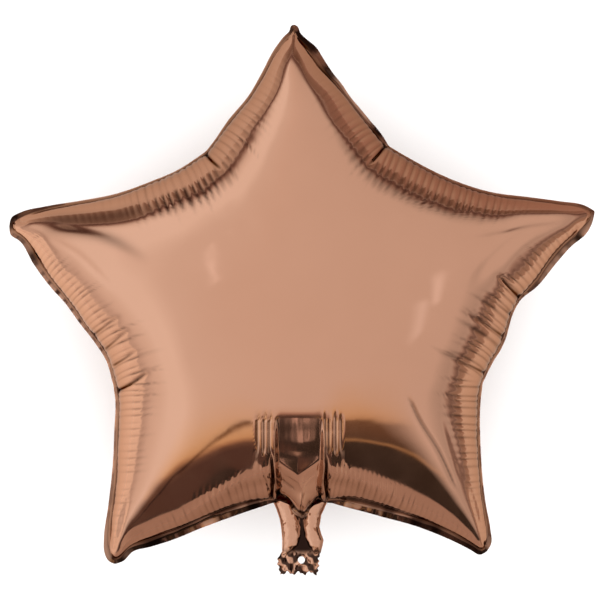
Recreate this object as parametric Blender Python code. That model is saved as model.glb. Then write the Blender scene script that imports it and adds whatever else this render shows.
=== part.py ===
"""Star foil balloon, inflated: one heat-sealed bag of metallised film.

The bag lies on its back panel.  +Z is the direction the front panel faces, +Y runs
from the neck to the crown tip, +X is to the right when looking at the front panel.
All lengths are in metres.  The origin is under the middle of the outer box, at the
height of the surface the bag rests on.
"""
import bpy
import bmesh
import math
from mathutils import Vector

# ---------------------------------------------------------------- driving dimensions
HALF_DEPTH = 0.0825        # seam plane to the crown of either panel
FIN_WIDTH = 0.0050         # welded margin outside the seam
FIN_HALF_THICKNESS = 0.0003
REST_FLAT_DEPTH = 0.0012   # how far the back panel is pressed flat where it rests

# seam corners, measured from the middle of the outer box, anticlockwise from the crown
CENTRE = (0.0, -0.0045)    # highest point of the panels
TIPS = {
    "crown": (-0.0054, 0.2008),
    "left_arm": (-0.2142, 0.0575),
    "left_foot": (-0.1432, -0.1915),
    "right_foot": (0.1388, -0.1871),
    "right_arm": (0.2140, 0.0640),
}
NOTCHES = {
    "crown_left": (-0.0640, 0.1010),
    "side_left": (-0.1296, -0.0595),
    "bottom": (0.0000, -0.1391),
    "side_right": (0.1230, -0.0580),
    "crown_right": (0.0593, 0.1030),
}
# how far the middle of each side is pulled in towards the centre: (tip to next notch, notch to next tip)
PULL_IN = {
    "crown": (0.0020, 0.0060),
    "left_arm": (0.0025, 0.0030),
    "left_foot": (0.0025, 0.0040),
    "right_foot": (0.0035, 0.0085),
    "right_arm": (0.0085, 0.0000),
}
TIP_ROUND = 0.008          # length of side that each tip's rounding uses
NOTCH_ROUND = 0.022        # and each notch's

# section of a panel from centre (s = 0) to seam (s = 1): height = HALF_DEPTH * (1 - s**P)**q
P = 2.2
Q_TIP = 0.85               # along an arm, where the two panels meet at a shallow angle
Q_NOTCH = 0.42             # towards a notch, where they stand almost upright

ROUNDING = 1.3             # how soon the star-shaped rings turn round towards the centre

COLUMNS = 100              # round the seam
RINGS = 20                 # back centre to front centre

# neck, from inside the bag to the end of the tail: (y, half width, half depth)
NECK_SECTIONS = [
    (-0.1300, 0.0170, 0.0150),
    (-0.1430, 0.0175, 0.0130),
    (-0.1540, 0.0165, 0.0100),
    (-0.1620, 0.0140, 0.0065),
    (-0.1740, 0.0140, 0.0060),
    (-0.1840, 0.0132, 0.0030),
    (-0.1880, 0.0125, 0.0008),
]
TAIL_END_Y = -0.2018
TAIL_HALF_WIDTH = 0.0147
TAIL_HALF_THICKNESS = 0.0007
RIBBON_HOLE = (0.0, -0.1908)
RIBBON_HOLE_RADIUS = 0.0027

ROSE_GOLD = (0.84, 0.46, 0.31, 1.0)


# ---------------------------------------------------------------- helpers
def clear_scene():
    for ob in list(bpy.data.objects):
        bpy.data.objects.remove(ob, do_unlink=True)
    for coll in list(bpy.data.collections):
        bpy.data.collections.remove(coll)


def collection(name):
    coll = bpy.data.collections.new(name)
    bpy.context.scene.collection.children.link(coll)
    return coll


def add_object(name, data, coll):
    ob = bpy.data.objects.new(name, data)
    coll.objects.link(ob)
    return ob


def material(name, colour, roughness, metallic):
    mat = bpy.data.materials.new(name)
    mat.use_nodes = True
    shader = mat.node_tree.nodes["Principled BSDF"]
    shader.inputs["Base Color"].default_value = colour
    shader.inputs["Roughness"].default_value = roughness
    shader.inputs["Metallic"].default_value = metallic
    mat.diffuse_color = colour
    return mat


def curve_to_mesh(name, curve_ob, coll):
    """Make a curve object a mesh object with welded caps, and drop the curve."""
    bpy.context.view_layer.update()
    evaluated = curve_ob.evaluated_get(bpy.context.evaluated_depsgraph_get())
    mesh = bpy.data.meshes.new_from_object(evaluated)
    bm = bmesh.new()
    bm.from_mesh(mesh)
    bmesh.ops.remove_doubles(bm, verts=bm.verts, dist=0.00001)
    bmesh.ops.recalc_face_normals(bm, faces=bm.faces)
    bm.to_mesh(mesh)
    bm.free()
    ob = add_object(name, mesh, coll)
    ob.matrix_world = curve_ob.matrix_world.copy()
    bpy.data.objects.remove(curve_ob, do_unlink=True)
    return ob


def flat_plate(name, points, half_thickness, coll):
    """A flat outline in the seam plane, given a thickness both ways."""
    cu = bpy.data.curves.new(name + "_outline", "CURVE")
    cu.dimensions = "2D"
    cu.fill_mode = "BOTH"
    cu.extrude = half_thickness
    spline = cu.splines.new("POLY")
    spline.points.add(len(points) - 1)
    for pt, p in zip(spline.points, points):
        pt.co = (p[0], p[1], 0.0, 1.0)
    spline.use_cyclic_u = True
    return curve_to_mesh(name, add_object(name + "_outline", cu, coll), coll)


def as_cutter(ob):
    ob.hide_render = True
    ob.display_type = "WIRE"


def boolean(ob, other, operation):
    mod = ob.modifiers.new(operation.lower() + "_" + other.name, "BOOLEAN")
    mod.operation = operation
    mod.solver = "EXACT"
    mod.object = other


# ---------------------------------------------------------------- the seam line
def bent_side(a, b, pull, steps=12):
    """Side from a to b whose middle is pulled in towards the centre."""
    a, b, c = Vector(a), Vector(b), Vector(CENTRE)
    mid = (a + b) / 2
    normal = Vector((-(b - a).y, (b - a).x)).normalized()
    if (c - mid).dot(normal) < 0:
        normal = -normal
    ctrl = mid + normal * (2 * pull)
    out = []
    for k in range(steps + 1):
        t = k / steps
        out.append(a * (1 - t) ** 2 + ctrl * 2 * t * (1 - t) + b * t * t)
    return out


def trim(side, start, end):
    """Drop a length from each end of a side."""
    def cut_front(pts, length):
        left = length
        for k in range(len(pts) - 1):
            seg = (pts[k + 1] - pts[k]).length
            if seg > left:
                first = pts[k].lerp(pts[k + 1], left / seg)
                return [first] + pts[k + 1:]
            left -= seg
        return pts[-2:]
    side = cut_front(side, start)
    side = cut_front(side[::-1], end)[::-1]
    return side


def seam_line(columns):
    """Closed seam line with rounded tips and notches, anticlockwise from the crown.

    Each of the ten stretches between the middle of one corner and the next gets the
    same number of points, so that a column runs to every tip and every notch.
    """
    corners, rounds = [], []
    for tip, notch in zip(TIPS.values(), NOTCHES.values()):
        corners += [Vector(tip), Vector(notch)]
        rounds += [TIP_ROUND, NOTCH_ROUND]
    pulls = [p for pair in PULL_IN.values() for p in pair]
    n = len(corners)
    sides = []
    for k in range(n):
        side = bent_side(corners[k], corners[(k + 1) % n], pulls[k])
        sides.append(trim(side, rounds[k], rounds[(k + 1) % n]))

    def corner_arc(k, t0, t1):
        a, c, b = sides[k - 1][-1], corners[k], sides[k][0]
        out = []
        for j in range(5):
            t = t0 + (t1 - t0) * j / 4
            out.append(a * (1 - t) ** 2 + c * 2 * t * (1 - t) + b * t * t)
        return out

    line = []
    for k in range(n):
        stretch = corner_arc(k, 0.5, 1.0) + sides[k][1:-1] + corner_arc((k + 1) % n, 0.0, 0.5)
        line += even_spacing(stretch, columns // n)
    return line


def even_spacing(stretch, count):
    """Points at equal distances along an open stretch, without its last point."""
    lengths = [0.0]
    for a, b in zip(stretch, stretch[1:]):
        lengths.append(lengths[-1] + (b - a).length)
    out, k = [], 0
    for j in range(count):
        at = lengths[-1] * j / count
        while lengths[k + 1] < at:
            k += 1
        t = (at - lengths[k]) / (lengths[k + 1] - lengths[k])
        out.append(stretch[k].lerp(stretch[k + 1], t))
    return out


def offset_out(line, distance):
    out = []
    for k, p in enumerate(line):
        along = (line[(k + 1) % len(line)] - line[k - 1]).normalized()
        out.append(p + Vector((along.y, -along.x)) * distance)
    return out


def notch_share(p):
    """0 at a tip, 1 at a notch, from the angle between the nearest of each."""
    def angle_to(q):
        a = math.atan2(p.y - CENTRE[1], p.x - CENTRE[0])
        b = math.atan2(q[1] - CENTRE[1], q[0] - CENTRE[0])
        return abs((a - b + math.pi) % (2 * math.pi) - math.pi)
    to_tip = min(angle_to(q) for q in TIPS.values())
    to_notch = min(angle_to(q) for q in NOTCHES.values())
    share = to_tip / (to_tip + to_notch)
    return share * share * (3 - 2 * share)


# ---------------------------------------------------------------- the pieces
def pillow(coll, line):
    """The two inflated panels: a sphere whose equator is drawn out to the seam line."""
    bm = bmesh.new()
    bmesh.ops.create_uvsphere(bm, u_segments=COLUMNS, v_segments=RINGS, radius=1.0)
    centre = Vector(CENTRE)
    shares = [notch_share(p) for p in line]
    mean_radius = sum((p - centre).length for p in line) / len(line)
    for v in bm.verts:
        x, y, z = v.co
        s = min(1.0, math.hypot(x, y))
        side = 0.0 if abs(z) < 1e-6 else math.copysign(1.0, z)
        if s < 1e-6:
            v.co = (centre.x, centre.y, side * HALF_DEPTH)
            continue
        col = round((math.atan2(y, x) % (2 * math.pi)) / (2 * math.pi) * COLUMNS) % COLUMNS
        if side == 0.0:
            s = 1.0
        # start the columns at the crown, which lies a quarter turn from +X
        edge = line[(col - COLUMNS // 4) % COLUMNS]
        share = shares[(col - COLUMNS // 4) % COLUMNS]
        q = Q_TIP + (Q_NOTCH - Q_TIP) * share
        height = HALF_DEPTH * max(0.0, 1 - s ** P) ** q
        out = edge - centre
        round_edge = centre + out * (mean_radius / out.length)
        flat = centre.lerp(round_edge.lerp(edge, s ** ROUNDING), s)
        v.co = (flat.x, flat.y, side * height)
    bmesh.ops.recalc_face_normals(bm, faces=bm.faces)
    mesh = bpy.data.meshes.new("foil_envelope")
    bm.to_mesh(mesh)
    bm.free()
    return add_object("foil_envelope", mesh, coll)


def neck_tube(coll):
    """Tapering filling neck: a round tube, then flattened to its own depth at each point."""
    cu = bpy.data.curves.new("neck_path", "CURVE")
    cu.dimensions = "3D"
    cu.bevel_depth = 1.0
    cu.bevel_resolution = 4
    cu.use_fill_caps = True
    spline = cu.splines.new("POLY")
    spline.points.add(len(NECK_SECTIONS) - 1)
    for pt, (y, half_width, half_depth) in zip(spline.points, NECK_SECTIONS):
        pt.co = (0.0, y, 0.0, 1.0)
        pt.radius = half_width
    ob = curve_to_mesh("neck", add_object("neck_path", cu, coll), coll)
    for v in ob.data.vertices:
        y = v.co.y
        for (y0, w0, d0), (y1, w1, d1) in zip(NECK_SECTIONS, NECK_SECTIONS[1:]):
            if y <= y0 + 1e-6 and y >= y1 - 1e-6:
                t = (y0 - y) / (y0 - y1)
                v.co.z *= (d0 + (d1 - d0) * t) / (w0 + (w1 - w0) * t)
                break
    return ob


def tail_plate(coll):
    """Flat welded strip down both sides of the neck, ending in the tail."""
    w, top = TAIL_HALF_WIDTH, -0.1300
    outline = [
        (-w - 0.0035, top), (-w - 0.0035, -0.1480), (-w, -0.1600), (-w, TAIL_END_Y + 0.002),
        (-w + 0.002, TAIL_END_Y), (w - 0.002, TAIL_END_Y), (w, TAIL_END_Y + 0.002),
        (w, -0.1600), (w + 0.0035, -0.1480), (w + 0.0035, top),
    ]
    return flat_plate("tail", outline, TAIL_HALF_THICKNESS, coll)


def ribbon_hole_cutter(coll):
    bm = bmesh.new()
    bmesh.ops.create_cone(bm, cap_ends=True, segments=24, radius1=RIBBON_HOLE_RADIUS,
                          radius2=RIBBON_HOLE_RADIUS, depth=0.02)
    mesh = bpy.data.meshes.new("ribbon_hole")
    bm.to_mesh(mesh)
    bm.free()
    ob = add_object("ribbon_hole", mesh, coll)
    ob.location = (RIBBON_HOLE[0], RIBBON_HOLE[1], 0.0)
    return ob


def rest_flat_cutter(coll):
    """Block whose top is the surface the back panel is pressed flat against."""
    bm = bmesh.new()
    bmesh.ops.create_cube(bm, size=1.0)
    bmesh.ops.scale(bm, vec=(0.3, 0.3, 0.02), verts=bm.verts)
    mesh = bpy.data.meshes.new("rest_surface")
    bm.to_mesh(mesh)
    bm.free()
    ob = add_object("rest_surface", mesh, coll)
    ob.location = (CENTRE[0], CENTRE[1], -HALF_DEPTH + REST_FLAT_DEPTH - 0.01)
    return ob


def main():
    clear_scene()
    parts = collection("star_foil_balloon")
    cutters = collection("cutters")

    seam = seam_line(COLUMNS)
    envelope = pillow(parts, seam)
    fin = flat_plate("fin", offset_out(seam, FIN_WIDTH), FIN_HALF_THICKNESS, cutters)
    neck = neck_tube(cutters)
    tail = tail_plate(cutters)
    hole = ribbon_hole_cutter(cutters)
    rest = rest_flat_cutter(cutters)

    for tool in (fin, tail, neck, hole, rest):
        as_cutter(tool)
    boolean(envelope, fin, "UNION")
    boolean(envelope, tail, "UNION")
    boolean(envelope, neck, "UNION")
    boolean(envelope, hole, "DIFFERENCE")
    boolean(envelope, rest, "DIFFERENCE")

    # put the middle of the outer box over the origin and the rest surface at z = 0
    xs = [v.co.x for v in fin.data.vertices]
    ys = [v.co.y for v in fin.data.vertices] + [v.co.y for v in tail.data.vertices]
    shift = Vector((-(min(xs) + max(xs)) / 2, -(min(ys) + max(ys)) / 2, HALF_DEPTH - REST_FLAT_DEPTH))
    for ob in (envelope, fin, tail, neck, hole, rest):
        ob.location = Vector(ob.location) + shift

    envelope.data.materials.append(material("foil_film", ROSE_GOLD, 0.12, 1.0))
    envelope.data.shade_smooth()
    envelope.data.set_sharp_from_angle(angle=math.radians(40))
    bpy.context.view_layer.update()


main()
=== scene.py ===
import bpy
import math
import numpy as np
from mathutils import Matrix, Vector
from mathutils.geometry import delaunay_2d_cdt
from mathutils.bvhtree import BVHTree


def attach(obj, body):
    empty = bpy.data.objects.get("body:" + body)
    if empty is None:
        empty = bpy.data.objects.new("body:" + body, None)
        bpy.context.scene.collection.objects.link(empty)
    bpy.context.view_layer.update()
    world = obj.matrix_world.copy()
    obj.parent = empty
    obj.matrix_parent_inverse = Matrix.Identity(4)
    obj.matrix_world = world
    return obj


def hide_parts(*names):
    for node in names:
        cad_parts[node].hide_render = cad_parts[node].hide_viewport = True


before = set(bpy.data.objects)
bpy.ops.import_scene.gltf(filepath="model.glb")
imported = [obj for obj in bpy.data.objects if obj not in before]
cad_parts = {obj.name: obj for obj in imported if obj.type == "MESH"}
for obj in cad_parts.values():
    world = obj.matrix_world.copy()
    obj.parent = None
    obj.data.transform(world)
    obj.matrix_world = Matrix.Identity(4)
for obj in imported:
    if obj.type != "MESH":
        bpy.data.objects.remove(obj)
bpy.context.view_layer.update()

# ---------------------------------------------------------------- frame and scale
MM = 0.001
UNIT = 0.7325e-3           # metres for one unit of the drawing frame below, at the seam plane
MID = (301.5, 299.5)       # the drawing point that lies over the origin
SEAM_Z = 0.0813            # height of the seam plane above the floor
CAM_DIST = 2.0             # camera to seam plane
CAM_X, CAM_Y = (300.0 - MID[0]) * UNIT, (MID[1] - 300.0) * UNIT


def draw_to_plan(p, z=0.0):
    """Drawing point (x right, y down, 600 wide) to plan metres, for a point z above the seam plane."""
    k = (CAM_DIST - z) / CAM_DIST
    return (CAM_X + (p[0] - 300.0) * UNIT * k, CAM_Y + (300.0 - p[1]) * UNIT * k)


def plan_to_draw(X):
    """Plan metres (n x 3, z from the floor) to drawing points, as the camera sees them."""
    k = UNIT * (CAM_DIST - (X[:, 2] - SEAM_Z)) / CAM_DIST
    return 300.0 + (X[:, 0] - CAM_X) / k, 300.0 - (X[:, 1] - CAM_Y) / k


# ---------------------------------------------------------------- camera
cam_data = bpy.data.cameras.new("camera")
cam_data.sensor_width = 36.0
cam_data.lens = 36.0 * CAM_DIST / (600.0 * UNIT)
cam_data.clip_end = 50.0
camera = bpy.data.objects.new("camera", cam_data)
camera.location = (CAM_X, CAM_Y, SEAM_Z + CAM_DIST)
bpy.context.scene.collection.objects.link(camera)
bpy.context.scene.camera = camera
bpy.context.scene.view_settings.view_transform = "Standard"
bpy.context.scene.view_settings.look = "None"


# ---------------------------------------------------------------- small numeric tools
def smoothstep(x, a, b):
    t = np.clip((x - a) / (b - a), 0.0, 1.0)
    return t * t * (3 - 2 * t)


def wave_noise(rng, t, period, octaves=3):
    """Smooth periodic noise of t (0..1) with about 1/period features, unit size."""
    out = np.zeros_like(t)
    amp = 1.0
    n = period
    for _ in range(octaves):
        ks = np.arange(max(1, n // 2), n + 1)
        for k in ks:
            out += amp * rng.normal() / math.sqrt(len(ks)) * np.cos(2 * math.pi * (k * t + rng.random()))
        n *= 2
        amp *= 0.5
    return out


def polyline_distance(px, py, pts):
    """Distance to a polyline, the fraction along it, and the side (left positive)."""
    best = np.full(px.shape, 1e9)
    frac = np.zeros_like(best)
    side = np.ones_like(best)
    pts = np.asarray(pts, float)
    seg = np.hypot(*np.diff(pts, axis=0).T)
    start = np.r_[0, np.cumsum(seg)]
    for k in range(len(pts) - 1):
        a, b = pts[k], pts[k + 1]
        ab = b - a
        t = np.clip(((px - a[0]) * ab[0] + (py - a[1]) * ab[1]) / (ab @ ab), 0, 1)
        dx, dy = px - a[0] - t * ab[0], py - a[1] - t * ab[1]
        d = np.hypot(dx, dy)
        better = d < best
        best = np.where(better, d, best)
        frac = np.where(better, (start[k] + t * seg[k]) / start[-1], frac)
        side = np.where(better, np.sign(ab[0] * dy - ab[1] * dx), side)
    return best, frac, side


def spline_points(pts, n):
    """n points of a smooth curve through the given ones."""
    pts = np.asarray(pts, float)
    d = np.r_[0, np.cumsum(np.hypot(*np.diff(pts, axis=0).T))]
    t = np.linspace(0, d[-1], n)
    m = np.gradient(pts, d, axis=0)
    k = np.clip(np.searchsorted(d, t, side="right") - 1, 0, len(d) - 2)
    h = d[k + 1] - d[k]
    s = ((t - d[k]) / h)[:, None]
    h = h[:, None]
    return ((2 * s**3 - 3 * s**2 + 1) * pts[k] + (s**3 - 2 * s**2 + s) * h * m[k]
            + (-2 * s**3 + 3 * s**2) * pts[k + 1] + (s**3 - s**2) * h * m[k + 1])


def ring_smooth(A, sigma):
    """Gaussian smoothing round a closed row of points; sigma in points."""
    n = len(A)
    f = np.fft.rfft(A, axis=0)
    k = np.arange(f.shape[0])
    g = np.exp(-2 * (math.pi * sigma * k / n) ** 2)
    return np.fft.irfft(f * (g[:, None] if A.ndim > 1 else g), n, axis=0)


# ---------------------------------------------------------------- the flat film
# corners of one flat panel, anticlockwise from the crown: tip, notch, tip, notch ...
FLAT = np.array([
    (-0.0004, 0.2262), (-0.0975, 0.1520), (-0.2355, 0.0753), (-0.1839, -0.0788), (-0.1610, -0.2053),
    (-0.0013, -0.1977), (0.1559, -0.2058), (0.1796, -0.0707), (0.2373, 0.0760), (0.0932, 0.1545)])
STEP = 0.56 * MM
side_len = np.hypot(*(np.roll(FLAT, -1, axis=0) - FLAT).T)
side_cols = (8 * np.round(side_len / (8 * STEP))).astype(int)
NC = int(side_cols.sum())
side_start = np.r_[0, np.cumsum(side_cols)]


def column_places(k, dense):
    """Where the columns of side k stand, as shares of its length from its first corner; closer near the notch."""
    u = np.arange(side_cols[k] + 1) / side_cols[k]
    u = u if k % 2 == 0 else 1 - u
    r = (1 - dense) * u + dense * (1 - (1 - u) ** 2)
    return r if k % 2 == 0 else 1 - r


PLACES = [column_places(k, 0.3) for k in range(10)]


def inset_corners(d):
    n = len(FLAT)
    along = np.roll(FLAT, -1, axis=0) - FLAT
    along /= np.hypot(*along.T)[:, None]
    inward = np.c_[-along[:, 1], along[:, 0]]
    out = np.zeros_like(FLAT)
    for k in range(n):
        a, b = k - 1, k
        M = np.array([inward[a], inward[b]])
        out[k] = np.linalg.solve(M, [inward[a] @ FLAT[a] + d, inward[b] @ FLAT[b] + d])
    return out


def flat_row(d, places=PLACES):
    """One closed row of points at film distance d from the seam."""
    c = inset_corners(d)
    pts = []
    for k in range(10):
        a, b = c[k], c[(k + 1) % 10]
        t = places[k][:-1]
        long = side_len[k]
        # places along the side, measured from the tip: square to the seam as far as the tip leaves room
        r = t if k % 2 == 0 else 1 - t
        near = d / math.tan(math.radians(36)) + 1e-6
        far = np.hypot(*(b - a)) + near
        soft = 0.25 * near
        bend = soft * (np.logaddexp(0, (r * long - near) / soft) - np.logaddexp(0, -near / soft))
        bend *= (long - near) / (soft * (np.logaddexp(0, (long - near) / soft) - np.logaddexp(0, -near / soft)))
        square = near + bend + (far - long) * r ** 2.5
        share = 0.7 * (square - near) / (far - near) + 0.3 * r
        share = share if k % 2 == 0 else 1 - share
        pts.append(a + (b - a) * share[:, None])
    return ring_smooth(np.vstack(pts), 5 * MM / STEP)


# ---------------------------------------------------------------- inflation of the flat film
def resample(P, h):
    Q = np.vstack([P, P[:1]])
    d = np.r_[0, np.cumsum(np.hypot(*np.diff(Q, axis=0).T))]
    n = int(round(d[-1] / h))
    t = np.linspace(0, d[-1], n + 1)[:-1]
    return np.c_[np.interp(t, d, Q[:, 0]), np.interp(t, d, Q[:, 1])]


def inside(pts, poly):
    x, y = pts[:, 0], pts[:, 1]
    c = np.zeros(len(pts), bool)
    j = len(poly) - 1
    for i in range(len(poly)):
        (xi, yi), (xj, yj) = poly[i], poly[j]
        if yi != yj:
            c ^= ((yi > y) != (yj > y)) & (x < (xj - xi) * (y - yi) / (yj - yi) + xi)
        j = i
    return c


def flat_mesh(P, h):
    B = resample(P, h)
    lo, hi = B.min(0), B.max(0)
    ys = np.arange(lo[1] - h, hi[1] + h, h * math.sqrt(3) / 2)
    xs = np.arange(lo[0] - h, hi[0] + h, h)
    G = np.array([(x + (j % 2) * h / 2, y) for j, y in enumerate(ys) for x in xs])
    G = G[inside(G, B)]
    d = polyline_distance(G[:, 0], G[:, 1], np.vstack([B, B[:1]]))[0]
    G = G[d > 0.55 * h]
    pts = np.vstack([B, G])
    nb = len(B)
    res = delaunay_2d_cdt([Vector(p) for p in pts], [(i, (i + 1) % nb) for i in range(nb)], [], 1, 1e-7)
    return np.array([[v.x, v.y] for v in res[0]]), np.array(res[2]), nb


def edge_table(F):
    e = np.sort(np.vstack([F[:, [0, 1]], F[:, [1, 2]], F[:, [2, 0]]]), axis=1)
    opp = np.r_[F[:, 2], F[:, 0], F[:, 1]]
    key = e[:, 0].astype(np.int64) * 10000000 + e[:, 1]
    o = np.argsort(key, kind="stable")
    key, e, opp = key[o], e[o], opp[o]
    first = np.r_[True, key[1:] != key[:-1]]
    start = np.where(first)[0]
    count = np.diff(np.r_[start, len(key)])
    inverse = np.empty(len(key), int)
    inverse[o] = np.cumsum(first) - 1
    return e[start], start, count, opp, inverse


def colour_groups(C, nv):
    used = [0] * nv
    col = np.empty(len(C), int)
    for k, (a, b) in enumerate(C.tolist()):
        m = used[a] | used[b]
        bit = ~m & (m + 1)
        used[a] |= bit
        used[b] |= bit
        col[k] = bit.bit_length() - 1
    return [C[col == c] for c in range(col.max() + 1)]


def inflate(V2, F, nb):
    """Two flat panels joined at the seam, blown up as film that can't stretch but can wrinkle."""
    n = len(V2)
    back = np.r_[np.arange(nb), np.arange(nb, n) + n - nb]
    nv = 2 * n - nb
    faces = np.vstack([F, back[F][:, ::-1]])
    rest = np.zeros((nv, 3))
    rest[:n, :2] = V2
    rest[back, :2] = V2
    X = rest.copy()
    X[nb:n, 2] = 1e-3
    X[n:, 2] = -1e-3
    E, start, count, opp, _ = edge_table(faces)
    B = np.c_[opp[start[count == 2]], opp[start[count == 2] + 1]]
    across = ((B[:, 0] >= nb) & (B[:, 0] < n) & (B[:, 1] >= n)) | ((B[:, 1] >= nb) & (B[:, 1] < n) & (B[:, 0] >= n))
    B = B[~across]
    B = B[np.linalg.norm(rest[B[:, 0]] - rest[B[:, 1]], axis=1) > 1e-5]

    def groups(C):
        return [(g[:, 0].copy(), g[:, 1].copy(), np.linalg.norm(rest[g[:, 0]] - rest[g[:, 1]], axis=1))
                for g in colour_groups(C, nv)]
    stretch, bend = groups(E), groups(B)
    a = rest[faces]
    area = 0.5 * np.linalg.norm(np.cross(a[:, 1] - a[:, 0], a[:, 2] - a[:, 0]), axis=1)
    m = sum(np.bincount(faces[:, k], area / 3, nv) for k in range(3))
    w = m.mean() / m
    V = np.zeros_like(X)
    for steps, load, kc, damp, kb in ((300, 2e-6, 1, 0.95, 0.1), (300, 5e-6, 0.5, 0.97, 0.1),
                                      (350, 5e-6, 0.1, 0.98, 0.05), (350, 5e-6, 0, 0.98, 0)):
        for it in range(steps):
            if it % 2 == 0:
                a = X[faces]
                nrm = np.cross(a[:, 1] - a[:, 0], a[:, 2] - a[:, 0]) / 6
                f = np.stack([sum(np.bincount(faces[:, k], nrm[:, c], nv) for k in range(3)) for c in range(3)], 1)
            V = V * damp + load * f / m[:, None]
            P = X + V
            for i, j, L in (stretch if it % 2 == 0 else stretch[::-1]):
                d = P[i] - P[j]
                l = np.sqrt(np.einsum("ij,ij->i", d, d)) + 1e-12
                c = l - L
                c = np.where(c < 0, c * kc, c)
                q = (c / (l * (w[i] + w[j])))[:, None] * d
                P[i] -= q * w[i, None]
                P[j] += q * w[j, None]
            if kb > 0:
                for i, j, L in bend:
                    d = P[i] - P[j]
                    l = np.sqrt(np.einsum("ij,ij->i", d, d)) + 1e-12
                    q = (kb * (l - L) / (l * (w[i] + w[j])))[:, None] * d
                    P[i] -= q * w[i, None]
                    P[j] += q * w[j, None]
            V = P - X
            X = P
    front, rear = X[:n], X[back]
    # the two panels are the same film, so their mean shape has less of the solver's own noise
    mean = front.copy()
    mean[:, :2] = (front[:, :2] + rear[:, :2]) / 2
    mean[:, 2] = (front[:, 2] - rear[:, 2]) / 2
    mean[:nb, 2] = 0.0
    return mean


def loop_subdivide(A, F):
    """One step of Loop's rule on a table of vertex values."""
    n = len(A)
    E, start, count, opp, inverse = edge_table(F)
    rim = count == 1
    new = 0.5 * (A[E[:, 0]] + A[E[:, 1]])
    i = np.where(~rim)[0]
    new[i] = 0.375 * (A[E[i, 0]] + A[E[i, 1]]) + 0.125 * (A[opp[start[i]]] + A[opp[start[i] + 1]])
    val = np.bincount(E.ravel(), minlength=n)
    around = np.stack([np.bincount(E[:, 0], A[E[:, 1], c], n) + np.bincount(E[:, 1], A[E[:, 0], c], n)
                       for c in range(A.shape[1])], 1)
    beta = np.where(val == 3, 3 / 16, 3 / (8 * np.maximum(val, 3)))
    old = (1 - val * beta)[:, None] * A + beta[:, None] * around
    R = E[rim]
    on_rim = np.zeros(n, bool)
    on_rim[R.ravel()] = True
    side = np.stack([np.bincount(R[:, 0], A[R[:, 1], c], n) + np.bincount(R[:, 1], A[R[:, 0], c], n)
                     for c in range(A.shape[1])], 1)
    old[on_rim] = 0.75 * A[on_rim] + 0.125 * side[on_rim]
    m = len(F)
    ab, bc, ca = inverse[:m] + n, inverse[m:2 * m] + n, inverse[2 * m:] + n
    a, b, c = F.T
    return np.vstack([old, new]), np.vstack([np.c_[a, ab, ca], np.c_[b, bc, ab], np.c_[c, ca, bc], np.c_[ab, bc, ca]])


outline0 = flat_row(0.0, [column_places(k, 0.62 if k in (4, 5) else 0.3) for k in range(10)])
V2, F2, NB = flat_mesh(outline0, 0.010)
table = np.c_[V2, inflate(V2, F2, NB)]
faces = F2
for _ in range(3):
    table, faces = loop_subdivide(table, faces)


def looked_up(table, faces, Q):
    bvh = BVHTree.FromPolygons([(x, y, 0.0) for x, y in table[:, :2].tolist()], faces.tolist())
    fi = np.empty(len(Q), int)
    loc = np.empty((len(Q), 2))
    for k, (x, y) in enumerate(Q.tolist()):
        p, _, f, _ = bvh.find_nearest((x, y, 0.0))
        fi[k] = f
        loc[k] = p[0], p[1]
    T = table[faces[fi]]
    a, b, c = T[:, 0, :2], T[:, 1, :2], T[:, 2, :2]
    det = (b[:, 0] - a[:, 0]) * (c[:, 1] - a[:, 1]) - (b[:, 1] - a[:, 1]) * (c[:, 0] - a[:, 0])
    u = ((loc[:, 0] - a[:, 0]) * (c[:, 1] - a[:, 1]) - (loc[:, 1] - a[:, 1]) * (c[:, 0] - a[:, 0])) / det
    v = ((b[:, 0] - a[:, 0]) * (loc[:, 1] - a[:, 1]) - (b[:, 1] - a[:, 1]) * (loc[:, 0] - a[:, 0])) / det
    return T[:, 0, 2:] * (1 - u - v)[:, None] + T[:, 1, 2:] * u[:, None] + T[:, 2, 2:] * v[:, None]


# the part of the flat panel round the neck, which has finer faces: half width, and upper end
NECK = (0.0375, -0.084)


def in_neck(Q, more=0.0):
    return (np.abs(Q[:, 0]) < NECK[0] + more) & (Q[:, 1] < NECK[1] + more)


def inflated(Q):
    """Inflated position (seam plane at 0) of points of the flat panel."""
    near = in_neck(Q)
    out = np.empty((len(Q), 3))
    out[~near] = looked_up(table, faces, Q[~near])
    local = faces[in_neck(table, 0.012)[faces].all(1)]
    used, local = np.unique(local, return_inverse=True)
    part, local = table[used], local.reshape(-1, 3)
    for _ in range(2):
        part, local = loop_subdivide(part, local)
    out[near] = looked_up(part, local, Q[near])
    return out


# ---------------------------------------------------------------- rows of the panel
ROW_D = [0.0, 2.0 * MM]
while ROW_D[-1] < 54 * MM:
    ROW_D.append(ROW_D[-1] + (3.6 if ROW_D[-1] < 24 * MM else 2.6) * MM)
N_FINE = len(ROW_D)
CENTRE = np.array([0.0, -0.004])


def panel_rows():
    """List of (flat points, film distance from the seam) from the seam to the middle; columns halve inwards."""
    rows = []
    for d in ROW_D:
        rows.append((flat_row(d), np.full(NC, d)))
    last = rows[-1][0] - CENTRE
    r = np.hypot(*last.T)
    rm = r.mean()
    s = 1.0
    step = 3.2 * MM
    level = 1
    while s * rm > 4 * MM:
        s -= step / rm
        if s * rm < 3 * MM:
            break
        if s < 0.99 and level == 1:
            level = 2
        if s < 0.90 and level == 2:
            level, step = 4, 3.6 * MM
        if s < 0.42 and level == 4:
            level, step = 8, 4.0 * MM
        k = s ** 0.8
        q = CENTRE + last * (s * (k + (1 - k) * rm / r))[:, None]
        rows.append((q[::level], ROW_D[-1] + (1 - s) * r[::level]))
    return rows


ROWS = panel_rows()
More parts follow.
